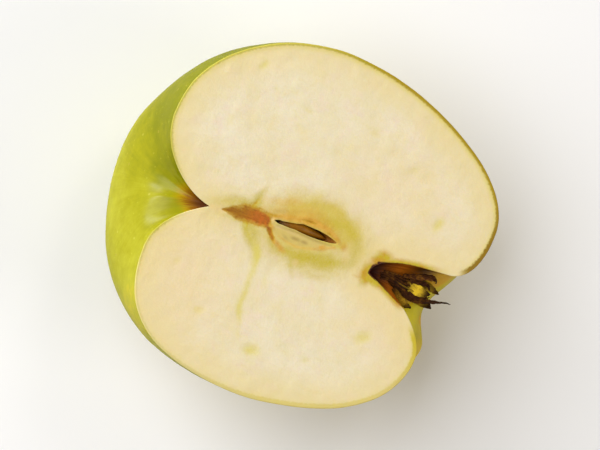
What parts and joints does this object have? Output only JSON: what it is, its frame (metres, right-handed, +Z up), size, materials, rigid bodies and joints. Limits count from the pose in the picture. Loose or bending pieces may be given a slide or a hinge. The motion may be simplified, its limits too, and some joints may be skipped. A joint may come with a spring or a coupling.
{
  "type": "apple half",
  "caption": "Lengthwise half of a pale yellow-green dessert apple lying on its skin, with a flat cut face, stem cavity, narrow seed chamber with a seed, and dried calyx.",
  "frame": {"origin": "under the middle of the half, at the level of the surface that it lies on", "axes": "+X from the stem end to the calyx end, +Y across the cut face towards the bigger lobe, +Z up; the cut face is up and leans 6 degrees towards +X"},
  "size_m": [0.0742, 0.0696, 0.0379],
  "materials": {
    "flesh": "moist pale cream cut flesh with soft sheen, inside a thin yellow-green skin",
    "pip": "smooth dark brown seed coat",
    "calyx": "dry dark brown sepals and stamens, matt and fibrous"
  },
  "bodies": {
    "root": {"flesh": "flesh", "pip": "pip", "calyx": "calyx"}
  },
  "joints": []
}
